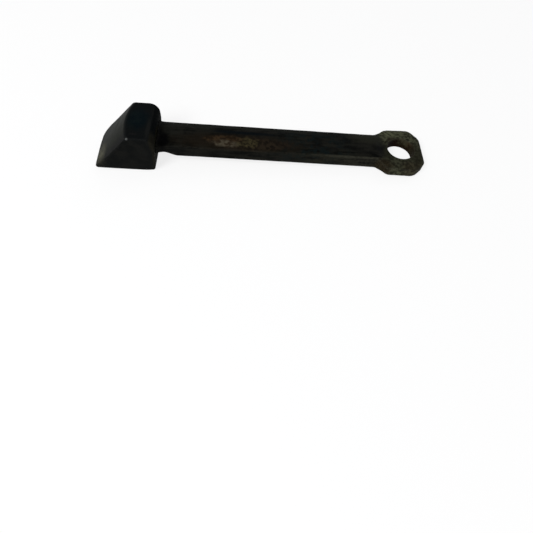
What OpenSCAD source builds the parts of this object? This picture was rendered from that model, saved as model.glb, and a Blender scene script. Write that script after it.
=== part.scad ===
// Stove shaker key: a hooded iron head that drops over the upright lug of a grate,
// and a flat forged handle with a hanging eye. The handle ends in a tenon that passes
// through the head's end wall, and a drive pin from the rim side locks it there.
// Millimetres. The origin is the middle of the socket's mouth, +X runs along the
// handle towards the eye, and +Z points up from the mouth into the socket.

/* [Overall] */
// Length from the toe of the head to the end of the eye
overall_l = 200; // [185:1:230]

/* [Head] */
// Length of the head at its rim, out to where the slope would meet it
head_l = 36.6; // [34:0.2:42]
// Width of the head across its cheeks
head_w = 30.6; // [28:0.2:36]
// Height of the head
head_h = 24.7; // [23:0.1:30]
// Length of the flat top, from the slope to the end wall
top_l = 17.3; // [14:0.1:18]
// Distance that the end wall leans out over the handle at the top
end_lean = 2.6; // [0:0.1:4]
// Radius of the top edge over the handle
top_edge_r = 5.5; // [1.5:0.25:6]
// Radius of the ridge between the flat top and the slope
ridge_r = 1.5; // [0.5:0.25:3]
// Radius of the rim's edges at the toe and under the end wall
rim_edge_r = 0.5; // [0.3:0.1:1]
// Radius of the toe's two corners, seen from above
toe_corner_r = 1; // [0.5:0.1:3]
// Radius of the end wall's two upright edges
end_corner_r = 1; // [0.5:0.1:2]
// Thickness of each cheek beside the socket
cheek_t = 5.3; // [4:0.1:6]
// Thickness of the sloping wall
slope_t = 5.75; // [4:0.25:6]
// Thickness of the roof over the socket
roof_t = 4.7; // [3.5:0.1:6]
// Thickness at the rim of the end wall that holds the handle
end_wall_t = 8.5; // [7.5:0.25:9.5]

/* [Handle bar] */
// Width of the bar
bar_w = 20.2; // [18.5:0.1:24]
// Thickness of the bar along its middle
bar_t = 9; // [8:0.1:10]
// Width of the bevel along each long edge
bevel_w = 3.3; // [2:0.1:5]
// Depth of that bevel at the edge of the bar
bevel_drop = 0.7; // [0.3:0.05:1.2]
// Length of the thin, level part of the neck next to the head
neck_flat_l = 4; // [1:0.5:6]
// Length of the curve from there down to the bar's full thickness
neck_l = 9; // [6:0.5:16]
// How much the underside of the thin part is above the bar's underside
neck_rise = 3; // [1:0.1:3.4]

/* [Tenon and pin] */
// Width of the tenon
tenon_w = 16; // [12:0.5:17.5]
// Thickness of the tenon
tenon_t = 4.4; // [3.8:0.1:4.6]
// Gap round the tenon in its mortise
tenon_gap = 0.05; // [0.03:0.01:0.1]
// Diameter of the drive pin
pin_d = 4; // [3:0.1:4.5]
// Length of the drive pin
pin_l = 18; // [17:0.25:20]
// Depth of the pin's end under the rim
pin_sink = 0.3; // [0.2:0.05:0.6]
// Gap round the pin in its hole
pin_gap = 0.02; // [0.01:0.01:0.05]
// Width of the chamfer on each end of the pin
pin_chamfer = 0.4; // [0.2:0.05:0.6]

/* [Eye] */
// Width of the eye
eye_w = 34; // [30:0.5:38]
// Thickness of the eye
eye_t = 6.8; // [5:0.1:7.5]
// Length of the shoulders that widen from the bar to the eye
shoulder_l = 8.8; // [6:0.2:12]
// Length of the straight sides
side_l = 16; // [12:0.2:22]
// Length of the slanting nose
nose_l = 6; // [4:0.2:8]
// Width of the square end
end_w = 20.2; // [16:0.2:24]
// Width of the chamfer round the eye's faces
eye_chamfer_w = 2.4; // [1:0.1:3]
// Depth of that chamfer
eye_chamfer_drop = 0.8; // [0.4:0.05:1.2]
// Diameter of the hanging hole
hole_d = 17; // [14:0.2:18]
// Distance from the middle of the hole to the end of the eye
hole_to_end = 13.7; // [12.5:0.1:15]
// Length over which the bar's faces run down to the eye's faces
fade_l = 6; // [4:0.5:9]

/* [Hidden] */
$fn = 96;
// Overlap that keeps two cuts or two joined shapes from sharing a face
lap = 1;
slope_run = head_l + end_lean - top_l;
slope_angle = atan2(head_h, slope_run);
// The sloping wall's thickness measured level, at the rim
slope_wall_x = slope_t / sin(slope_angle);
socket_l = head_l - end_wall_t - slope_wall_x;
socket_w = head_w - 2 * cheek_t;
socket_h = head_h - roof_t;
// Places along the handle, from the middle of the mouth
socket_end_x = socket_l / 2;
rim_end_x = socket_end_x + end_wall_t;
top_end_x = rim_end_x + end_lean;
ridge_x = top_end_x - top_l;
toe_x = rim_end_x - head_l;
// The rounded toe ends a little short of the corner where slope and rim would meet
toe_tip_x = toe_x + rim_edge_r * (1 / tan(slope_angle / 2) - 1);
eye_end_x = toe_tip_x + overall_l;
eye_start_x = eye_end_x - nose_l - side_l - shoulder_l;
hole_x = eye_end_x - hole_to_end;
pin_x = rim_end_x - end_wall_t / 2;
// Level of the handle's middle plane
bar_z = head_h / 2;
// The tenon comes out of the neck, so it sits level with the middle of what is left there
tenon_z = bar_z + neck_rise / 2;
// Steps in the curve of the neck's underside
neck_steps = 12;
// Steps in the arc round an edge or a corner
arc_steps = 10;

function toward(a, b) = (b - a) / norm(b - a);

function turned(v, angle) = [
    v[0] * cos(angle) - v[1] * sin(angle),
    v[0] * sin(angle) + v[1] * cos(angle)
];

// Points of the arc of radius r that rounds the corner b, on the way from a to c
function corner_arc(a, b, c, r) =
    let (
        back = toward(b, a),
        ahead = toward(b, c),
        half = acos(back * ahead) / 2,
        centre = b + toward([0, 0], back + ahead) * r / sin(half),
        start = b + back * r / tan(half) - centre
    )
    [for (i = [0 : arc_steps]) centre + turned(start, (180 - 2 * half) * i / arc_steps)];

// A convex anticlockwise outline with its corners rounded, one radius for each, 0 for sharp
function rounded(p, radii) = [
    for (i = [0 : len(p) - 1])
        let (n = len(p))
        each radii[i] > 0 ? corner_arc(p[(i + n - 1) % n], p[i], p[(i + 1) % n], radii[i]) : [p[i]]
];

// A side view, drawn in X and Z, made w wide and centred on the middle plane
module across(w) {
    translate([0, w / 2, 0])
        rotate([90, 0, 0])
            linear_extrude(w)
                children();
}

// Outline of the head from above, with the toe's corners rounded
module head_plan() {
    polygon(rounded([
        [toe_x, -head_w / 2],
        [top_end_x, -head_w / 2],
        [top_end_x, head_w / 2],
        [toe_x, head_w / 2],
    ], [toe_corner_r, 0, 0, toe_corner_r]));
}

// Side view of the head: a slope up from the toe, a level top, a leaning end wall
module head_side() {
    polygon(rounded([
        [toe_x, 0],
        [rim_end_x, 0],
        [top_end_x, head_h],
        [ridge_x, head_h],
    ], [rim_edge_r, rim_edge_r, top_edge_r, ridge_r]));
}

// What rounding takes off the end wall's upright edge, which leans with the wall
module end_edge_waste() {
    translate([rim_end_x, head_w / 2, 0])
        rotate([0, atan2(end_lean, head_h), 0])
            translate([0, 0, -lap])
                linear_extrude(head_h + 2 * lap)
                    difference() {
                        translate([-end_corner_r, -end_corner_r])
                            square(end_corner_r + lap);
                        polygon(rounded([
                            [-2 * end_corner_r, -2 * end_corner_r],
                            [0, -2 * end_corner_r],
                            [0, 0],
                            [-2 * end_corner_r, 0],
                        ], [0, 0, end_corner_r, 0]));
                    }
}

// Side view of the socket: its ceiling follows the slope at an even wall
module socket_side() {
    ceiling_x = -socket_end_x + socket_h / tan(slope_angle);
    polygon([
        [-socket_end_x - lap / tan(slope_angle), -lap],
        [socket_end_x, -lap],
        [socket_end_x, socket_h],
        [min(ceiling_x, socket_end_x - lap), socket_h],
    ]);
}

// Place of the end wall's leaning outer face at height z
function wall_x(z) = rim_end_x + end_lean * z / head_h;

module mortise() {
    gap = 2 * tenon_gap;
    translate([socket_end_x - lap, -(tenon_w + gap) / 2, tenon_z - (tenon_t + gap) / 2])
        cube([end_wall_t + end_lean + 2 * lap, tenon_w + gap, tenon_t + gap]);
}

// Upright hole for the drive pin, open at the rim
module pin_hole(r, top) {
    translate([pin_x, 0, -lap])
        cylinder(r = r, h = top + lap);
}

module socket_head() {
    color([0.09, 0.1, 0.11])
        difference() {
            intersection() {
                across(head_w)
                    head_side();
                linear_extrude(head_h)
                    head_plan();
            }
            end_edge_waste();
            mirror([0, 1, 0])
                end_edge_waste();
            across(socket_w)
                socket_side();
            mortise();
            pin_hole(pin_d / 2 + pin_gap, pin_sink + pin_l);
        }
}

// End view of the bar, bevelled along its four long edges
module bar_section() {
    flat = bar_w / 2 - bevel_w;
    edge = bar_t / 2 - bevel_drop;
    polygon([
        [-flat, -bar_t / 2],
        [flat, -bar_t / 2],
        [bar_w / 2, -edge],
        [bar_w / 2, edge],
        [flat, bar_t / 2],
        [-flat, bar_t / 2],
        [-bar_w / 2, edge],
        [-bar_w / 2, -edge],
    ]);
}

// The neck's underside from the head outwards: level, then a smooth S down to the bar's
function neck_curve() =
    let (level_z = neck_rise - bar_t / 2, start_x = wall_x(bar_z + level_z))
    [
        [start_x, level_z],
        each [
            for (i = [0 : neck_steps])
                let (along = i / neck_steps, rise = neck_rise * (1 + cos(180 * along)) / 2)
                [start_x + neck_flat_l + neck_l * along, rise - bar_t / 2]
        ]
    ];

// Side view of the bar: level faces that run down to the eye's faces
module bar_side() {
    fade_end_x = eye_start_x + fade_l;
    tip = eye_t / 2 - eye_chamfer_drop;
    polygon([
        each neck_curve(),
        [eye_start_x, -bar_t / 2],
        [fade_end_x, -eye_t / 2],
        [fade_end_x + lap, -tip],
        [fade_end_x + lap, tip],
        [fade_end_x, eye_t / 2],
        [eye_start_x, bar_t / 2],
        [wall_x(bar_z + bar_t / 2), bar_t / 2],
    ]);
}

module shank() {
    intersection() {
        translate([rim_end_x, 0, 0])
            rotate([90, 0, 90])
                linear_extrude(overall_l)
                    bar_section();
        across(bar_w + lap)
            bar_side();
    }
}

module tenon() {
    translate([socket_end_x, -tenon_w / 2, tenon_z - bar_z - tenon_t / 2])
        cube([end_wall_t + end_lean + lap, tenon_w, tenon_t]);
}

// Outline of the eye in plan: eight corners, anticlockwise
function eye_outline() = [
    [eye_start_x, -bar_w / 2],
    [eye_start_x + shoulder_l, -eye_w / 2],
    [eye_end_x - nose_l, -eye_w / 2],
    [eye_end_x, -end_w / 2],
    [eye_end_x, end_w / 2],
    [eye_end_x - nose_l, eye_w / 2],
    [eye_start_x + shoulder_l, eye_w / 2],
    [eye_start_x, bar_w / 2],
];

function left_of(a, b) = [a[1] - b[1], b[0] - a[0]] / norm(b - a);

// A convex anticlockwise outline drawn in by d on every side
function drawn_in(p, d) = [
    for (i = [0 : len(p) - 1])
        let (
            n = len(p),
            before = left_of(p[(i + n - 1) % n], p[i]),
            after = left_of(p[i], p[(i + 1) % n])
        )
        p[i] + d * (before + after) / (1 + before * after)
];

module eye_plate() {
    edge_t = eye_t - 2 * eye_chamfer_drop;
    hull() {
        translate([0, 0, -edge_t / 2])
            linear_extrude(edge_t)
                polygon(eye_outline());
        translate([0, 0, -eye_t / 2])
            linear_extrude(eye_t)
                polygon(drawn_in(eye_outline(), eye_chamfer_w));
    }
}

module handle_bar() {
    color([0.11, 0.1, 0.085])
        translate([0, 0, bar_z])
            difference() {
                union() {
                    shank();
                    tenon();
                    eye_plate();
                }
                translate([hole_x, 0, -eye_t / 2 - lap])
                    cylinder(d = hole_d, h = eye_t + 2 * lap);
                translate([0, 0, -bar_z])
                    pin_hole(pin_d / 2 + pin_gap, head_h);
            }
}

module tenon_pin() {
    color([0.2, 0.19, 0.18])
        translate([pin_x, 0, pin_sink]) {
            cylinder(r1 = pin_d / 2 - pin_chamfer, r2 = pin_d / 2, h = pin_chamfer);
            translate([0, 0, pin_chamfer])
                cylinder(d = pin_d, h = pin_l - 2 * pin_chamfer);
            translate([0, 0, pin_l - pin_chamfer])
                cylinder(r1 = pin_d / 2, r2 = pin_d / 2 - pin_chamfer, h = pin_chamfer);
        }
}

socket_head();
handle_bar();
tenon_pin();
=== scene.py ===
import math

import bmesh
import bpy
import numpy as np
from mathutils import Matrix, Vector, noise


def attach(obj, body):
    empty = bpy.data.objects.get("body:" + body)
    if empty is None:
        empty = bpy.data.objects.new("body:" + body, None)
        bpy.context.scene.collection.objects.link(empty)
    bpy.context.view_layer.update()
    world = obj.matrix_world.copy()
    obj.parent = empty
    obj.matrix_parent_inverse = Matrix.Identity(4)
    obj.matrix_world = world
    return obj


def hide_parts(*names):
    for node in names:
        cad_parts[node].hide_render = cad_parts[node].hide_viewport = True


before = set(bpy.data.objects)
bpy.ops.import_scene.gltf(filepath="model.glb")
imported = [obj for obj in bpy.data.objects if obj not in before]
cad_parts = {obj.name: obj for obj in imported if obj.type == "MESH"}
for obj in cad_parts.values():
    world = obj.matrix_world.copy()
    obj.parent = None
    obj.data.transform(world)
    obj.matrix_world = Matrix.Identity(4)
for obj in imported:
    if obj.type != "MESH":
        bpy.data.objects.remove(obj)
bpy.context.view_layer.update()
scene = bpy.context.scene
scene.view_settings.view_transform = "Standard"

# The camera stands over the handle on the near side and looks down at the key.
# Its place, tilt and lens were worked out from the key's outline in the photograph.
CAMERA_PLACE = (0.07169, -0.184467, 0.189928)
PITCH, YAW, ROLL = 60.652, 8.15, 9.452
LENS_PX = 400
PHOTO_PX = 533
SENSOR_W = 36
pitch, yaw, roll = (math.radians(a) for a in (PITCH, YAW, ROLL))
ahead = Vector((math.sin(yaw) * math.cos(pitch), math.cos(yaw) * math.cos(pitch), -math.sin(pitch)))
level = Vector((math.cos(yaw), -math.sin(yaw), 0))
upright = level.cross(ahead)
right = math.cos(roll) * level + math.sin(roll) * upright
up = math.cos(roll) * upright - math.sin(roll) * level
camera = bpy.data.objects.new("camera", bpy.data.cameras.new("camera"))
camera.matrix_world = Matrix((right, up, -ahead)).transposed().to_4x4()
camera.location = CAMERA_PLACE
camera.data.sensor_width = SENSOR_W
camera.data.lens = SENSOR_W * LENS_PX / PHOTO_PX
camera.data.clip_start = 0.01
scene.collection.objects.link(camera)
scene.camera = camera


class Wire:
    """A shader socket. Sums and products of wires add the Math nodes that work them out."""

    def __init__(self, tree, socket=None):
        self.tree = tree
        self.socket = socket

    def node(self, kind, settings, sockets, output=None):
        """A new node with its settings and its sockets' values or wires, as one output's wire."""
        made = self.tree.nodes.new(kind)
        for name, value in settings.items():
            setattr(made, name, value)
        for name, value in sockets.items():
            shown = [s for s in made.inputs if s.enabled]
            socket = shown[name] if isinstance(name, int) else next(s for s in shown if s.name == name)
            if isinstance(value, Wire):
                self.tree.links.new(value.socket, socket)
            else:
                socket.default_value = value
        shown = [s for s in made.outputs if s.enabled]
        chosen = next(s for s in shown if s.name == output) if output else (shown or [None])[0]
        return Wire(self.tree, chosen)

    def sum(self, operation, first, second=0.0, clamp=False):
        settings = {"operation": operation, "use_clamp": clamp}
        return self.node("ShaderNodeMath", settings, {0: first, 1: second})

    def __add__(self, other):
        return self.sum("ADD", self, other)

    def __radd__(self, other):
        return self.sum("ADD", other, self)

    def __sub__(self, other):
        return self.sum("SUBTRACT", self, other)

    def __rsub__(self, other):
        return self.sum("SUBTRACT", other, self)

    def __mul__(self, other):
        return self.sum("MULTIPLY", self, other)

    def __rmul__(self, other):
        return self.sum("MULTIPLY", other, self)

    def __neg__(self):
        return self.sum("SUBTRACT", 0.0, self)

    def held(self):
        """The same value, kept between 0 and 1."""
        return self.sum("ADD", self, 0.0, clamp=True)

    def away(self, centre, reach):
        """How far this place is from a centre, counted in its reach along each axis."""
        gap = self.node("ShaderNodeVectorMath", {"operation": "SUBTRACT"}, {0: self, 1: centre})
        gap = self.node("ShaderNodeVectorMath", {"operation": "DIVIDE"}, {0: gap, 1: reach})
        return self.node("ShaderNodeVectorMath", {"operation": "LENGTH"}, {0: gap}, "Value")

    def patch(self, centre, reach, ragged, full, gone):
        """1 round a centre and 0 away from it. Noise frays its edge, between full and gone."""
        return 1 - (self.away(centre, reach) + ragged).step(full, gone)

    def clouds(self, size, detail=3.0, roughness=0.55):
        """Noise whose humps are about size metres apart."""
        sockets = {"Vector": self, "Scale": 1 / size, "Detail": detail, "Roughness": roughness}
        return self.node("ShaderNodeTexNoise", {}, sockets)

    def step(self, low, high):
        """0 below low and 1 above high, with a soft change between them."""
        settings = {"interpolation_type": "SMOOTHSTEP"}
        values = {"Value": self, "From Min": low, "From Max": high}
        return self.node("ShaderNodeMapRange", settings, values)

    def tint(self, plain, coloured):
        """Mixes two colours by this wire."""
        a, b = ((*c, 1) if isinstance(c, tuple) else c for c in (plain, coloured))
        return self.node("ShaderNodeMix", {"data_type": "RGBA"}, {"Factor": self, "A": a, "B": b})


def new_finish(name):
    """An empty material and the wire that its nodes start from."""
    finish = bpy.data.materials.new(name)
    finish.use_nodes = True
    finish.node_tree.nodes.clear()
    return finish, Wire(finish.node_tree)


def seen(start):
    """1 where a ray sees things straight, mirrored or through glass, and 0 where it lights them."""
    rays = ("Is Camera Ray", "Is Glossy Ray", "Is Transmission Ray")
    straight, mirrored, through = (start.node("ShaderNodeLightPath", {}, {}, ray) for ray in rays)
    return (straight + mirrored + through).held()


# The floor is a flat white sheet. A key that lies free tips until the rim under the handle
# and the end of the eye both touch, so the floor leans by that much under the key.
RIM_FOOT = 0.0183
EYE_FOOT = (0.1801, 0.00895)
FLOOR_GAP = 0.00005
FLOOR_HALF = 4
FLOOR_PAINT = (0.92, 0.92, 0.92, 1)
FLOOR_WHITE = (1, 1, 1, 1)
WHITE_SHARE = 0.8
lean = math.atan2(EYE_FOOT[1], EYE_FOOT[0] - RIM_FOOT)
along = Vector((math.cos(lean), 0, math.sin(lean)))
across = Vector((0, 1, 0))
foot = Vector((RIM_FOOT, 0, -FLOOR_GAP))
signs = ((-1, -1), (1, -1), (1, 1), (-1, 1))
corners = [foot + FLOOR_HALF * (a * along + b * across) for a, b in signs]
floor_mesh = bpy.data.meshes.new("floor")
floor_mesh.from_pydata(corners, [], [(0, 1, 2, 3)])
floor = bpy.data.objects.new("floor", floor_mesh)
scene.collection.objects.link(floor)
floor_finish, start = new_finish("white_floor")
matt = start.node("ShaderNodeBsdfDiffuse", {}, {"Color": FLOOR_PAINT})
glow = start.node("ShaderNodeEmission", {}, {"Color": FLOOR_WHITE, "Strength": 1.0})
topside = start.node("ShaderNodeMixShader", {}, {0: seen(start) * WHITE_SHARE, 1: matt, 2: glow})
underside = start.node("ShaderNodeBsdfTransparent", {}, {})
behind = start.node("ShaderNodeNewGeometry", {}, {}, "Backfacing")
both = start.node("ShaderNodeMixShader", {}, {0: behind, 1: topside, 2: underside})
start.node("ShaderNodeOutputMaterial", {}, {"Surface": both})
floor_mesh.materials.append(floor_finish)

# The light is a soft lamp over the near left side, a weaker one behind on the right, and a
# pale room, which looks white at floor level and grey overhead.
LAMP_AIM = Vector((0.08, 0, 0))
ROOM_LIGHT = (0.42, 0.42, 0.43)
ROOM_WHITE = (1, 1, 1)
OVERHEAD_GREY = (0.22, 0.23, 0.25)
for name, place, size, power in (
    ("side_lamp", (-0.62, -0.72, 0.95), 0.6, 15),
    ("back_lamp", (0.9, 0.9, 1.1), 0.8, 3),
):
    lamp = bpy.data.objects.new(name, bpy.data.lights.new(name, "AREA"))
    lamp.data.size = size
    lamp.data.energy = power
    lamp.location = place
    lamp.rotation_euler = (LAMP_AIM - lamp.location).to_track_quat("-Z", "Y").to_euler()
    scene.collection.objects.link(lamp)
room = bpy.data.worlds.new("room")
room.use_nodes = True
room.node_tree.nodes.clear()
start = Wire(room.node_tree)
way = start.node("ShaderNodeTexCoord", {}, {}, "Generated")
height = start.node("ShaderNodeSeparateXYZ", {}, {0: way}, "Z")
backdrop = height.step(0.10, 0.42).tint(ROOM_WHITE, OVERHEAD_GREY)
air = seen(start).tint(ROOM_LIGHT, backdrop)
sky = start.node("ShaderNodeBackground", {}, {"Color": air, "Strength": 1.0})
start.node("ShaderNodeOutputWorld", {}, {"Surface": sky})
scene.world = room

# The head is a grey-iron casting, a hood over the grate's lug. It was cast with its slope,
# flat top and leaning end wall, then fettled, and years of use have rounded its edges.
# Sizes are in millimetres, from the middle of the socket's mouth.
HEAD_L = 36.6
HEAD_H = 24.7
HALF_HEAD_W = 15.3
TOP_L = 17.3
LEAN_OUT = 2.6
END_WALL_T = 8.5
SLOPE_WALL_T = 5.75
HALF_SOCKET_W = 10
SOCKET_H = 20
RIM_END_X = 18.708
TOE_X = RIM_END_X - HEAD_L
TOE_TIP_X = -17.281
TOE_BOW = 0.0012
SOCKET_END_X = RIM_END_X - END_WALL_T
END_LEAN = math.atan2(LEAN_OUT, HEAD_H)
SLOPE = math.atan2(HEAD_H, RIM_END_X + LEAN_OUT - TOP_L - TOE_X)
HALF_TENON_W = 8
HALF_TENON_T = 2.2
TENON_Z = 13.85
TENON_GAP = 0.05
PIN_X = RIM_END_X - END_WALL_T / 2
PIN_R = 2
PIN_GAP = 0.02
PIN_TOP = 18.3
TOP_EDGE_R = 5.5
RIDGE_R = 1
RIM_EDGE_R = 0.6
CHEEK_EDGE_R = 0.45
FAR_TOE_R = 6
NEAR_TOE_R = 2.2
SOCKET_EDGE_R = 1
SOCKET_CORNER_R = 1.2
NEAR_RIM_CORNER = (18.7, -15, 0)
# Where the near cheek's edges are worn rounder: by how much, the spot and its reach
CHEEK_WEAR = (
    (0.5, (20, -15, 24.5), (6, 8, 9)),
    (0.5, (6, -15, 24.5), (3, 4, 3)),
    (1.5, NEAR_RIM_CORNER, (4, 4, 3)),
    (1.6, (-12, -15, 5.5), (6, 5, 2.8)),
)
# The slope is crowned. Its side edges drop off just above the toe, over the first fifth of
# its height, and then on towards the ridge.
CROWN_RISE = 0.3
FIRST_FIFTH = 0.2
FAR_DROP = (0.35, 1.25)
NEAR_DROP = (1.4, 0.4)
# The far side of the end wall is uneven: heights, and how far back it lies there
TWIST_Z = (4, 15, 19, HEAD_H)
TWIST = (0, -0.4, 0, 0.6)
TWIST_W = 12
# The grid that the head's skin is made on: two corners, and the size of a cell
HEAD_GRID = ((-18.4, -16.2, -1), (22.4, 16.2, 25.8), 0.4)


def cut_round(a, b, r):
    """The part inside both a and b, with its outer edge rounded to r."""
    return np.minimum(np.maximum(a, b), -r) + np.hypot(np.maximum(a + r, 0), np.maximum(b + r, 0))


def end_wall(x, z):
    """Distance in front of the leaning end wall."""
    return (x - RIM_END_X) * math.cos(END_LEAN) - z * math.sin(END_LEAN)


def flat_slope(x, z):
    """Distance above the slope, before it is crowned."""
    return z * math.cos(SLOPE) - (x - TOE_X) * math.sin(SLOPE)


def near(x, y, z, spot, reach):
    """1 at a spot, falling off softly over its reach."""
    return np.exp(-sum(((a - b) / c) ** 2 for a, b, c in zip((x, y, z), spot, reach)))


def ease(t):
    """From 0 at 0 to 1 at 1, soft at both ends."""
    t = np.clip(t, 0, 1)
    return t * t * (3 - 2 * t)


def head_shape(x, y, z):
    """Distance from the head's surface, less than nothing inside the iron."""
    height = np.clip(z / HEAD_H, 0, 1)
    by_toe = 1 - np.exp(-height / FIRST_FIFTH)
    far_drop, near_drop = (drop[0] * by_toe + drop[1] * height for drop in (FAR_DROP, NEAR_DROP))
    crown = CROWN_RISE + np.where(y > 0, far_drop, near_drop)
    slope = flat_slope(x, z) - CROWN_RISE + crown * (y / HALF_HEAD_W) ** 2
    twist = ease(y / TWIST_W) * np.interp(z, TWIST_Z, TWIST)
    side = cut_round(z - HEAD_H, end_wall(x, z) + twist, TOP_EDGE_R)
    side = cut_round(side, slope, RIDGE_R)
    side = cut_round(side, -z, RIM_EDGE_R * (1 + near(x, y, z, NEAR_RIM_CORNER, (3, 3, 3))))
    cheek = abs(y) - HALF_HEAD_W
    toe = TOE_TIP_X + TOE_BOW * y**2 - x
    plan = cut_round(toe, cheek, np.where(y > 0, FAR_TOE_R, NEAR_TOE_R))
    worn = CHEEK_EDGE_R + sum(more * near(x, y, z, spot, reach) for more, spot, reach in CHEEK_WEAR)
    body = cut_round(cut_round(side, cheek, worn), plan, RIM_EDGE_R)
    socket = cut_round(x - SOCKET_END_X, z - SOCKET_H, SOCKET_EDGE_R)
    socket = cut_round(socket, flat_slope(x, z) + SLOPE_WALL_T, SOCKET_EDGE_R)
    socket = cut_round(socket, abs(y) - HALF_SOCKET_W, SOCKET_CORNER_R)
    body = cut_round(body, -socket, RIM_EDGE_R)
    mortise = np.maximum(abs(y) - HALF_TENON_W, abs(z - TENON_Z) - HALF_TENON_T) - TENON_GAP
    mortise = np.maximum(mortise, SOCKET_END_X - 1 - x)
    pin_hole = np.maximum(np.hypot(x - PIN_X, y) - PIN_R - PIN_GAP, z - PIN_TOP)
    return np.maximum(np.maximum(body, -mortise), -pin_hole)


def skin(shape, low, high, cell):
    """Points and outward quads of the surface where the shape's distance is nothing."""
    axes = [np.arange(a, b + cell, cell) for a, b in zip(low, high)]
    open_axes = np.meshgrid(*axes, indexing="ij", sparse=True)
    solid = np.broadcast_to(shape(*open_axes), [len(a) for a in axes]) < 0
    long, wide, tall = (n - 1 for n in solid.shape)
    corners = sum(
        solid[i : i + long, j : j + wide, k : k + tall].astype(int)
        for i in (0, 1) for j in (0, 1) for k in (0, 1)
    )
    cut = (corners > 0) & (corners < 8)
    number = np.full(cut.shape, -1)
    number[cut] = np.arange(cut.sum())
    points = np.argwhere(cut) * cell + np.array([a[0] for a in axes]) + cell / 2
    quads = []
    for axis in range(3):
        order = [(axis + turn) % 3 for turn in range(3)]
        turned, cells = (np.moveaxis(grid, order, (0, 1, 2)) for grid in (solid, number))
        low_side, high_side = turned[:-1, 1:-1, 1:-1], turned[1:, 1:-1, 1:-1]
        for leaving in (True, False):
            i, j, k = np.nonzero((low_side == leaving) & (high_side != leaving))
            ring = [cells[i, j, k], cells[i, j + 1, k], cells[i, j + 1, k + 1], cells[i, j, k + 1]]
            quads.append(np.stack(ring if leaving else ring[::-1], 1))
    quads = np.concatenate(quads)
    sides = np.concatenate([quads[:, [a, (a + 1) % 4]] for a in range(4)])
    count = np.bincount(sides[:, 0], minlength=len(points))[:, None]

    def evened(values):
        """Each point's value becomes the mean of its neighbours' values."""
        sums = [np.bincount(sides[:, 0], v[sides[:, 1]], len(points)) for v in values.T]
        return np.stack(sums, 1) / count

    def slant(p):
        """Way out of the surface at each point."""
        step = cell / 8
        rise = [shape(*(p + d).T) - shape(*(p - d).T) for d in np.eye(3) * step]
        rise = np.stack(rise, 1) / (2 * step)
        return rise / np.maximum(np.linalg.norm(rise, axis=1, keepdims=True), 1e-6)

    pulls, even_pulls, softenings = 6, 3, 14
    for pull in range(pulls):
        if pull < even_pulls:
            points = (points + evened(points)) / 2
        out = slant(points)
        points = points - out * shape(*points.T)[:, None]
    soft = points
    for turn in range(softenings):
        soft = evened(soft)
    bulge = ((points - soft) * out).sum(1)
    return points, quads, out, bulge


def unevenness(points, size, seed):
    """Smooth seeded humps and hollows, about size apart."""
    shift = Vector((seed * 17.3, seed * 5.1, seed * 9.7))
    return np.array([noise.noise(Vector(p) / size + shift) for p in points])


def dented(points, out, broad, fine, level, seed, inside):
    """The points pressed in by broad and fine dents, each a depth and a size, but not inside."""
    hollows = broad[0] * unevenness(points, broad[1], seed)
    hollows = hollows + fine[0] * unevenness(points, fine[1], seed + 1) - level
    return points + out * np.where(inside, 0, np.minimum(hollows, 0))[:, None]


def iron_piece(name, points, quads, bulge, finish):
    """The mesh object of one iron piece, which also holds how worn or hollow each point is."""
    full_bulge = 0.3
    mesh = bpy.data.meshes.new(name)
    mesh.from_pydata((points / 1000).tolist(), [], quads.tolist())
    mesh.polygons.foreach_set("use_smooth", [True] * len(quads))
    for label, amount in (("edge", bulge), ("hollow", -bulge)):
        share = np.clip(amount / full_bulge, 0, 1).astype(np.float32)
        mesh.attributes.new(label, "FLOAT", "POINT").data.foreach_set("value", share)
    mesh.materials.append(finish)
    piece = bpy.data.objects.new(name, mesh)
    scene.collection.objects.link(piece)
    return piece


def iron_wires(start):
    """The place on the iron, its three parts, and how worn and how hollow the iron is there."""
    place = start.node("ShaderNodeTexCoord", {}, {}, "Object")
    parts = [start.node("ShaderNodeSeparateXYZ", {}, {0: place}, axis) for axis in "XYZ"]
    labels = [{"attribute_name": label} for label in ("edge", "hollow")]
    return place, *parts, *(start.node("ShaderNodeAttribute", label, {}, "Fac") for label in labels)


def iron_surface(start, colour, rough, relief, strength, depth):
    """Ends the iron's nodes with a shader that has next to no shine."""
    bump = {"Strength": strength, "Distance": depth, "Height": relief}
    bump = start.node("ShaderNodeBump", {}, bump)
    values = {"Base Color": colour, "Roughness": rough, "Specular IOR Level": 0.03, "Normal": bump}
    shader = start.node("ShaderNodeBsdfPrincipled", {}, values)
    start.node("ShaderNodeOutputMaterial", {}, {"Surface": shader})


points, quads, out, bulge = skin(head_shape, *HEAD_GRID)
x, y, z = points.T
in_mortise = (abs(y) < HALF_TENON_W + 0.3) & (abs(z - TENON_Z) < HALF_TENON_T + 0.3)
in_pin_hole = np.hypot(x - PIN_X, y) < PIN_R + 0.5
inside = in_mortise | in_pin_hole
points = dented(points, out, broad=(0.07, 7), fine=(0.025, 2.2), level=0.04, seed=1, inside=inside)

head_iron, start = new_finish("head_iron")
place, along_x, along_y, along_z, edge, hollow = iron_wires(start)
patches = place.clouds(0.008, 4.0, 0.6)
flecks = place.clouds(0.0032, 4.0, 0.65)
grit = place.clouds(0.0011, 5.0, 0.65)
colour = patches.step(0.40, 0.62).tint((0.0014, 0.0018, 0.0017), (0.0040, 0.0042, 0.0036))

# The slope is worn to a lighter grey, sandy at the toe's near corner
on_slope = flat_slope(1000 * along_x, 1000 * along_z).step(-0.988, -0.188)
slope_grey = patches.step(0.3, 0.7).tint((0.0026, 0.0038, 0.0020), (0.0070, 0.0080, 0.0052))
colour = on_slope.tint(colour, slope_grey)
sandy = place.patch((-0.0136, -0.0080, 0.0050), (0.0050, 0.0072, 0.0060), 1.2 * flecks, 1.0, 1.9)
sand = flecks.step(0.38, 0.62).tint((0.0200, 0.0200, 0.0130), (0.0560, 0.0540, 0.0370))
colour = sandy.tint(colour, sand)

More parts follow.
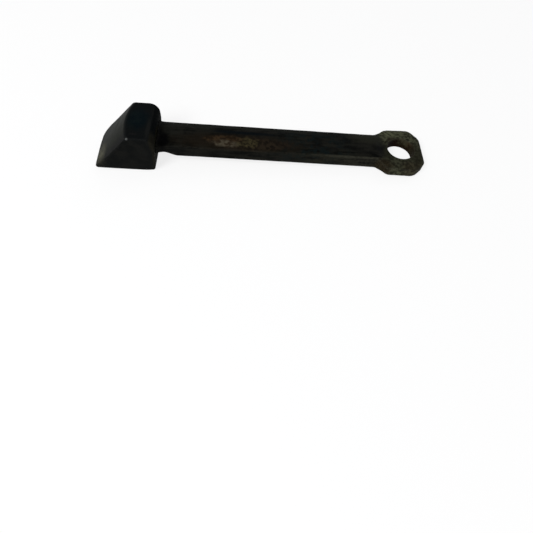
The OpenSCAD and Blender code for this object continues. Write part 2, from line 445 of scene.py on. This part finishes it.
# The top keeps its blue scale, with a painted highlight where it rounds off, a short painted
# highlight near its front edge, and a painted glint at the near corner over the slope
on_top = along_z.step(0.0232, 0.0246)
blued = place.patch((0.0105, 0.0010, 0.0247), (0.0062, 0.0085, 0.01), 0.8 * flecks, 0.9, 1.7)
blue = patches.step(0.40, 0.60).tint((0.0007, 0.0029, 0.0041), (0.0018, 0.0046, 0.0052))
colour = on_top.tint(colour, blued.tint((0.0026, 0.0034, 0.0036), blue))
# Painted highlight: a light band where the top rounds off towards the end wall
line = place.patch((0.0171, -0.0065, 0.0243), (0.0012, 0.0090, 0.01), 0.5 * flecks, 0.7, 1.5)
colour = line.tint(colour, (0.0062, 0.0067, 0.0064))
# Painted highlight: a short light streak on the top near its front edge
top_highlight_streak = place.patch((0.0096, -0.0112, 0.0247), (0.0026, 0.0007, 0.01), 0.5 * grit, 0.7, 1.5)
colour = (0.8 * top_highlight_streak).tint(colour, (0.0066, 0.0062, 0.0062))
rub = (edge.step(0.2, 0.9) * grit.step(0.35, 0.65)).held()
colour = (0.3 * rub).tint(colour, (0.014, 0.0145, 0.0135))
# Painted glint where the top, the slope and the near cheek meet
painted_glint = place.patch((0.0064, -0.0150, 0.0243), (0.0010, 0.0008, 0.0009), 0.4 * grit, 0.7, 1.4)
colour = painted_glint.tint(colour, (0.060, 0.064, 0.062))

# The end wall is rough and painted dark as shade towards the far side: olive brown towards the near
# side, browner over the handle
above = end_wall(1000 * along_x, 1000 * along_z) + 2.0 * along_z.step(0.014, 0.022)
on_end = above.step(-1.405, -0.205)
far_end = (along_y + 0.003 * flecks).step(-0.0095, -0.0045)
# Painted shade: the far part of the end wall and its rounding get near-black grain
shaded_far_grain = grit.step(0.42, 0.58).tint((0.0003, 0.0011, 0.0014), (0.0018, 0.0024, 0.0026))
colour = on_end.tint(colour, far_end.tint((0.0080, 0.0075, 0.0050), shaded_far_grain))
brown = place.patch((0.0205, -0.0040, 0.0180), (0.0030, 0.0080, 0.0030), 0.7 * flecks, 0.9, 1.6)
colour = brown.tint(colour, (0.0075, 0.0068, 0.0036))
# The hollows turn dark, and olive brown towards the near side
hollow_tone = far_end.tint((0.0070, 0.0066, 0.0046), (0.0012, 0.0010, 0.0008))
colour = hollow.step(0.05, 0.5).tint(colour, hollow_tone)
rough = 0.38 + 0.18 * patches + 0.10 * grit - 0.08 * rub + 0.3 * on_end
iron_surface(start, colour, rough, grit + 0.6 * patches, 0.3, 0.0002)

head = iron_piece("cast_head", points, quads, bulge, head_iron)
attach(head, "root")
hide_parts("socket_head")

# The handle is one forging: a tenon through the head's end wall, a neck upset where it
# shoulders against the head, a bar with soft hammered bevels, and an eight-cornered eye.
BAR_Z = HEAD_H / 2
HALF_BAR_W = 10.1
HALF_BAR_T = 4.5
BAR_END_X = 165
UPPER_EDGE_R = 0.4
LOWER_EDGE_R = 0.5
# The far bevel is the wider one, and widest round one place. On the eye both are narrower.
NEAR_BEVEL_W = 3.3
FAR_BEVEL_W = 3.8
WIDEST_MORE = 2.4
WIDEST_X = 75
WIDEST_L = 36
EYE_BEVEL_LESS = 0.9
BEVEL_DROP = 0.7
EYE_DROP_MORE = 0.1
BEVEL_BEND = 0.4
# At the neck the underside rises, the top dips a little, and the iron flares to the head,
# with a fillet on the near side
NECK_X = 23.9
NECK_L = 9
NECK_RISE = 3
DIP = 0.7
DIP_SPOT = (24.5, -4, 0)
DIP_REACH = (3.6, 6, 1)
FLARE = 0.9
FLARE_L = 0.9
FILLET = 1.3
FILLET_L = 4
FILLET_W = 8
EYE_END_X = 182.719
EYE_START_X = EYE_END_X - 30.789
HALF_EYE_T = 3.4
EYE_CORNER_R = 1.5
NOSE_CORNER_R = 2
HOLE_X = EYE_END_X - 13.7
HOLE_R = 8.3
HOLE_EDGE_R = 0.5
# How far the eye's near and far sides are from the middle. The far one widens from one
# place on, by a share of the length.
HALF_NEAR_EYE_W = 16.9
HALF_FAR_EYE_W = (16.5, 16.95)
WIDENING_X = 163
WIDENING = 0.05
# Each slanting line of the eye's outline as two points: x, then how far from the middle
NEAR_SHOULDER = ((152.9, HALF_BAR_W), (159.2, HALF_NEAR_EYE_W))
FAR_SHOULDER = ((153.0, HALF_BAR_W), (160.9, HALF_FAR_EYE_W[0]))
NEAR_NOSE = ((176.4, HALF_NEAR_EYE_W), (EYE_END_X, 10.6))
FAR_NOSE = ((177.0, 16.9), (EYE_END_X, 9.8))
MEET_R = 0.6
EYE_FADE_L = 6
TENON_END_X = 24
HANDLE_GRID = ((9.4, -17.8, 6.5), (183.8, 17.8, 18.2), 0.42)


def soft_ramp(t, bend):
    """Nothing below 0, then t, with a soft bend between."""
    return np.where(t < -bend, 0, np.where(t > bend, t, (t + bend) ** 2 / (4 * bend)))


def beyond(x, half, line):
    """Distance outside a line of the eye's outline."""
    (x0, h0), (x1, h1) = line
    return ((x1 - x0) * (half - h0) - (h1 - h0) * (x - x0)) / math.hypot(x1 - x0, h1 - h0)


def handle_shape(x, y, z):
    """Distance from the handle's surface, less than nothing inside the iron."""
    half = abs(y)
    far = y > 0
    shoulder = np.where(far, beyond(x, half, FAR_SHOULDER), beyond(x, half, NEAR_SHOULDER))
    nose = np.where(far, beyond(x, half, FAR_NOSE), beyond(x, half, NEAR_NOSE))
    far_eye = np.clip(HALF_FAR_EYE_W[0] + WIDENING * (x - WIDENING_X), *HALF_FAR_EYE_W)
    eye = cut_round(half - np.where(far, far_eye, HALF_NEAR_EYE_W), shoulder, EYE_CORNER_R)
    eye = cut_round(cut_round(eye, nose, NOSE_CORNER_R), x - EYE_END_X, EYE_CORNER_R)
    bar = np.maximum(half - HALF_BAR_W, x - BAR_END_X)
    inside = np.hypot(np.maximum(MEET_R - bar, 0), np.maximum(MEET_R - eye, 0))
    plan = np.maximum(np.minimum(bar, eye), MEET_R) - inside
    in_eye = ease((x - EYE_START_X) / EYE_FADE_L)
    thick = HALF_BAR_T - (HALF_BAR_T - HALF_EYE_T) * in_eye
    far_bevel_w = FAR_BEVEL_W + WIDEST_MORE * np.exp(-(((x - WIDEST_X) / WIDEST_L) ** 2))
    bevel_w = np.where(far, far_bevel_w, NEAR_BEVEL_W) - EYE_BEVEL_LESS * in_eye
    bevel = (BEVEL_DROP + EYE_DROP_MORE * in_eye) * soft_ramp(1 + plan / bevel_w, BEVEL_BEND)
    wall = end_wall(x, z)
    rise = NECK_RISE / 2 * (1 + np.cos(math.pi * np.clip((x - NECK_X) / NECK_L, 0, 1)))
    dip = DIP * near(x, y, 0, DIP_SPOT, DIP_REACH)
    upper = z - BAR_Z - thick + bevel + dip
    lower = BAR_Z - thick + bevel + rise - z
    flare = FLARE * np.exp(-np.maximum(wall, 0) / FLARE_L)
    fillet = FILLET * np.exp(-np.maximum(wall, 0) / FILLET_L)
    fillet = flare + (fillet - flare) * ease(0.5 - y / FILLET_W)
    body = cut_round(upper - flare, plan - fillet, UPPER_EDGE_R)
    body = cut_round(body, lower - fillet, LOWER_EDGE_R)
    body = np.maximum(body, -wall - TENON_GAP)
    body = cut_round(body, HOLE_R - np.hypot(x - HOLE_X, y), HOLE_EDGE_R)
    tenon = np.maximum(half - HALF_TENON_W, abs(z - TENON_Z) - HALF_TENON_T)
    tenon = np.maximum(tenon, np.maximum(SOCKET_END_X - x, x - TENON_END_X))
    pin_hole = PIN_R + PIN_GAP - np.hypot(x - PIN_X, y)
    return np.maximum(np.minimum(body, tenon), pin_hole)


points, quads, out, bulge = skin(handle_shape, *HANDLE_GRID)
in_head = end_wall(points[:, 0], points[:, 2]) < 0.2
fine_depth = 0.03 + 0.04 * ease((points[:, 0] - 150) / 8)
fine = (fine_depth, 2.4)
points = dented(points, out, broad=(0.09, 9), fine=fine, level=0.05, seed=3, inside=in_head)

# Dark forged iron, streaked along the bar, with cooler, paler and ashy places
handle_iron, start = new_finish("handle_iron")
place, along_x, along_y, along_z, edge, hollow = iron_wires(start)
stretched = start.node("ShaderNodeVectorMath", {"operation": "MULTIPLY"}, {0: place, 1: (0.16, 1, 1)})
patches = place.clouds(0.010, 4.0, 0.6)
flecks = place.clouds(0.0032, 4.0, 0.65)
grit = place.clouds(0.0012, 5.0, 0.7)
streaks = stretched.clouds(0.0018, 4.0, 0.6)
speckle = place.clouds(0.0020, 3.0, 0.6)
blotch = place.clouds(0.0036, 2.0, 0.5)
speckled = speckle.step(0.40, 0.60)
drawn_out = (0.5 * patches + 0.5 * streaks).step(0.42, 0.58)
colour = drawn_out.tint((0.0013, 0.0015, 0.0011), (0.0073, 0.0071, 0.0053))
cool = along_x.step(0.080, 0.115) * (1 - along_x.step(0.122, 0.142))
cool = cool * (0.5 * flecks + 0.5 * blotch).step(0.46, 0.56)
colour = cool.tint(colour, (0.0026, 0.0050, 0.0050))
pale = along_x.step(0.060, 0.110) * (0.6 * grit + 0.4 * streaks).step(0.52, 0.66)
colour = pale.tint(colour, (0.0080, 0.0086, 0.0062))
grey = place.patch((0.1500, 0.0075, 0.0160), (0.0140, 0.0060, 0.01), 0.6 * flecks, 0.8, 1.6)
colour = (0.8 * grey).tint(colour, (0.0125, 0.0130, 0.0085))
ashy = place.patch((0.0300, 0.0040, 0.0165), (0.0125, 0.0062, 0.01), 0.7 * flecks, 0.8, 1.6)
colour = (0.8 * ashy * streaks.step(0.36, 0.58)).tint(colour, (0.0082, 0.0084, 0.0067))

# The far bevel is greyer than the top in the bar's left half, over a dark blue line
bevelled = along_y.step(0.0050, 0.0064) * along_z.step(0.0145, 0.0155)
bevelled = bevelled * (1 - along_x.step(0.105, 0.125))
colour = (bevelled * streaks.step(0.3, 0.6)).tint(colour, (0.0085, 0.0088, 0.0070))
line = place.patch((0.0710, 0.0036, 0.0165), (0.0210, 0.0016, 0.01), 0.7 * flecks, 0.8, 1.6)
colour = line.tint(colour, (0.0006, 0.0018, 0.0026))

# The near side and its upper edge are rubbed paler towards the eye
near_side = (-along_y).step(0.0091, 0.0099) * along_x.step(0.098, 0.116)
rubbed = along_x.step(0.118, 0.145).tint((0.0110, 0.0108, 0.0070), (0.0170, 0.0168, 0.0115))
colour = (near_side * (0.5 * grit + 0.5 * streaks).step(0.38, 0.58)).tint(colour, rubbed)
arris = (-along_y).step(0.0088, 0.0096) * along_x.step(0.106, 0.134) * along_z.step(0.0148, 0.0158)
colour = (arris * flecks.step(0.25, 0.55)).tint(colour, (0.0225, 0.0220, 0.0160))

# Rust along the middle of the bar's top, faint at its ends, with bare wear in the middle
on_top = along_z.step(0.0150, 0.0160)
stain = place.patch((0.0670, -0.0046, 0.0165), (0.0400, 0.0068, 0.01), 0.7 * flecks, 0.9, 1.6)
colour = (0.7 * stain * on_top).tint(colour, (0.0082, 0.0055, 0.0028))
rust = place.patch((0.0765, -0.0046, 0.0165), (0.0270, 0.0055, 0.01), 1.1 * flecks, 1.05, 1.75)
rust_brown = speckled.tint((0.0058, 0.0041, 0.0027), (0.0150, 0.0108, 0.0066))
colour = (rust * on_top).tint(colour, rust_brown)
olive = place.patch((0.0735, -0.0042, 0.0165), (0.0085, 0.0050, 0.01), 1.0 * flecks, 0.95, 1.65)
olive_brown = speckled.tint((0.0085, 0.0066, 0.0034), (0.0330, 0.0275, 0.0125))
colour = (olive * on_top).tint(colour, olive_brown)
orange = place.patch((0.0596, -0.0024, 0.0165), (0.0126, 0.0034, 0.01), 0.8 * flecks, 0.9, 1.6)
orange_brown = speckled.tint((0.0105, 0.0058, 0.0026), (0.0270, 0.0165, 0.0080))
colour = (orange * on_top).tint(colour, orange_brown)
worn = place.patch((0.0607, -0.0057, 0.0165), (0.0083, 0.0031, 0.01), 1.0 * flecks, 0.95, 1.65)
bare_grey = blotch.step(0.42, 0.60).tint((0.0165, 0.0108, 0.0058), (0.053, 0.045, 0.030))
colour = (worn * on_top).tint(colour, bare_grey)

# Greenish grey scale on the eye, with slanting file marks, paler and duller in places
far_off = start.node("ShaderNodeMath", {"operation": "ABSOLUTE"}, {0: along_y})
on_eye = (along_x + 0.25 * far_off + 0.005 * flecks).step(0.1595, 0.1640)
slanted = {"X": along_x + along_y, "Y": 0.2 * (along_x - along_y), "Z": along_z}
filed = start.node("ShaderNodeCombineXYZ", {}, slanted).clouds(0.0024, 3.0, 0.55)
mottle = (0.25 * filed + 0.75 * speckle).step(0.40, 0.60)
scale = mottle.tint((0.0092, 0.0094, 0.0050), (0.050, 0.052, 0.031))
bright = place.patch((0.1640, 0.0135, 0.0155), (0.0085, 0.0042, 0.01), 0.8 * flecks, 0.9, 1.6)
scale = (bright * filed.step(0.42, 0.56)).tint(scale, (0.062, 0.066, 0.038))
near_top = (-along_y).step(-0.002, 0.003) * along_z.step(0.0146, 0.0154)
scale = (0.5 * near_top).tint(scale, (0.0098, 0.0098, 0.0055))
beige = place.patch((0.1745, -0.0150, 0.0130), (0.0080, 0.0050, 0.01), 0.8 * flecks, 0.9, 1.7)
scale = (0.55 * beige).tint(scale, speckled.tint((0.0130, 0.0100, 0.0054), (0.0350, 0.0280, 0.0160)))
shaded = place.patch((0.1610, -0.0030, 0.0155), (0.0045, 0.0075, 0.01), 0.7 * flecks, 0.9, 1.6)
scale = (0.8 * shaded).tint(scale, (0.0085, 0.0087, 0.0046))
dull = place.patch((0.1790, -0.0035, 0.0155), (0.0055, 0.0100, 0.01), 0.8 * flecks, 0.9, 1.7)
scale = (0.6 * dull).tint(scale, (0.0090, 0.0082, 0.0042))
colour = on_eye.tint(colour, scale)
brown = place.patch((0.1560, -0.0140, 0.0125), (0.0068, 0.0052, 0.01), 0.8 * flecks, 0.9, 1.6)
shoulder_brown = grit.step(0.4, 0.6).tint((0.0080, 0.0062, 0.0030), (0.0200, 0.0155, 0.0080))
colour = brown.tint(colour, shoulder_brown)

# Rust round the hole's far edge and down its wall, darkest at the left and at the bottom
far_rust = place.patch((0.1645, 0.0070, 0.0157), (0.0038, 0.0024, 0.01), 0.6 * flecks, 0.9, 1.5)
colour = (0.7 * far_rust).tint(colour, (0.0120, 0.0088, 0.0042))
side_rust = place.patch((0.1762, 0.0012, 0.0157), (0.0022, 0.0042, 0.01), 0.6 * flecks, 0.9, 1.5)
colour = (0.85 * side_rust).tint(colour, (0.0150, 0.0115, 0.0052))
in_hole = 1 - place.away((HOLE_X / 1000, 0, 0), (0.0088, 0.0088, 10)).step(0.97, 1.02)
wall = flecks.step(0.40, 0.60).tint((0.0135, 0.0112, 0.0056), (0.0350, 0.0310, 0.0175))
right_rust = flecks.step(0.42, 0.58).tint((0.0120, 0.0078, 0.0034), (0.0300, 0.0215, 0.0108))
wall = (along_x + 0.002 * flecks).step(0.1747, 0.1768).tint(wall, right_rust)
at_bottom = 1 - (along_z + 0.004 * (flecks - 0.5)).step(0.0100, 0.0125)
wall = at_bottom.tint(wall, (0.0085, 0.0040, 0.0012))
wall = (along_x + 0.001 * flecks).step(0.1764, 0.1778).tint(wall, (0.0120, 0.0095, 0.0045))
at_left = 1 - (along_x + 0.004 * flecks).step(0.1700, 0.1728)
wall = at_left.tint(wall, (0.0062, 0.0022, 0.0005))
at_left_top = at_left * (along_z + 0.001 * flecks).step(0.0142, 0.0162)
wall = at_left_top.tint(wall, (0.0200, 0.0175, 0.0105))
colour = in_hole.tint(colour, wall)

# Rubbed edges over all, and painted shadow and shade where the neck meets the head
rub = (edge.step(0.25, 0.9) * grit.step(0.35, 0.65)).held()
colour = ((0.15 + 0.35 * on_eye) * rub).tint(colour, (0.032, 0.031, 0.024))
# Painted shadow: a near-black patch on the neck's top beside the head
neck_shadow = place.patch((0.0245, -0.0060, 0.0150), (0.0042, 0.0062, 0.01), 0.8 * flecks, 0.9, 1.5)
colour = neck_shadow.tint(colour, (0.0003, 0.0003, 0.0004))
# Painted shade: the handle's hollows near the head turn near black
shade_by_head = hollow.step(0.05, 0.5) * (1 - along_x.step(0.06, 0.10))
colour = shade_by_head.tint(colour, (0.0012, 0.0010, 0.0010))
rough = 0.46 + 0.14 * patches + 0.12 * grit + 0.10 * on_eye + 0.2 * rust
iron_surface(start, colour, rough, grit + 0.8 * flecks, 0.5, 0.0003)

handle = iron_piece("forged_handle", points, quads, bulge, handle_iron)
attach(handle, "root")
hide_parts("handle_bar")

# The pin is a short iron rod, driven up from the rim through the end wall and the tenon.
# Its lower end is set a little under the rim, filed and dented by the punch.
PIN_LOW = 0.3
PIN_SIDES = 40
# The rod's outline from the middle of its lower end to that of its upper: radius, height
profile = [
    (0.001, PIN_LOW + 0.25), (0.7, PIN_LOW + 0.2), (1.1, PIN_LOW + 0.04), (1.5, PIN_LOW),
    (1.75, PIN_LOW + 0.12), (1.92, PIN_LOW + 0.3), (PIN_R, PIN_LOW + 0.6),
    (PIN_R, 5), (PIN_R, 10), (PIN_R, 15), (PIN_R, PIN_TOP - 0.6),
    (1.85, PIN_TOP - 0.25), (1.6, PIN_TOP - 0.05), (0.8, PIN_TOP), (0.001, PIN_TOP),
]
turns = np.linspace(0, 2 * math.pi, PIN_SIDES, endpoint=False)
rod = bmesh.new()
rings = [
    [rod.verts.new((PIN_X + r * math.cos(a), r * math.sin(a), z)) for a in turns]
    for r, z in profile
]
for low, high in zip(rings, rings[1:]):
    for i in range(PIN_SIDES):
        j = (i + 1) % PIN_SIDES
        rod.faces.new((low[i], low[j], high[j], high[i]))
bmesh.ops.remove_doubles(rod, verts=rod.verts, dist=0.01)
bmesh.ops.recalc_face_normals(rod, faces=rod.faces)
for v in rod.verts:
    if v.co.z < PIN_LOW + 0.3:
        v.co.z += 0.05 + 0.05 * noise.noise(v.co * 1.5)
for f in rod.faces:
    f.smooth = True
bmesh.ops.scale(rod, vec=(0.001, 0.001, 0.001), verts=rod.verts)
pin_mesh = bpy.data.meshes.new("drive_pin")
rod.to_mesh(pin_mesh)
rod.free()

pin_iron, start = new_finish("pin_iron")
place = start.node("ShaderNodeTexCoord", {}, {}, "Object")
grit = start.node("ShaderNodeTexNoise", {}, {"Vector": place, "Scale": 1400.0, "Detail": 4.0})
drawn = start.node("ShaderNodeMapping", {}, {"Vector": place, "Scale": (2500.0, 2500.0, 60.0)})
streak = start.node("ShaderNodeTexNoise", {}, {"Vector": drawn, "Scale": 1.0, "Detail": 2.0})
colour = grit.step(0.4, 0.65).tint((0.028, 0.024, 0.02), (0.05, 0.03, 0.018))
bump = {"Strength": 0.4, "Distance": 0.0001, "Height": grit + 0.5 * streak}
bump = start.node("ShaderNodeBump", {}, bump)
values = {"Base Color": colour, "Roughness": 0.35 + 0.3 * grit, "Metallic": 0.5, "Normal": bump}
shader = start.node("ShaderNodeBsdfPrincipled", {}, values)
start.node("ShaderNodeOutputMaterial", {}, {"Surface": shader})
pin_mesh.materials.append(pin_iron)
pin = bpy.data.objects.new("drive_pin", pin_mesh)
scene.collection.objects.link(pin)
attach(pin, "root")
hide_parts("tenon_pin")
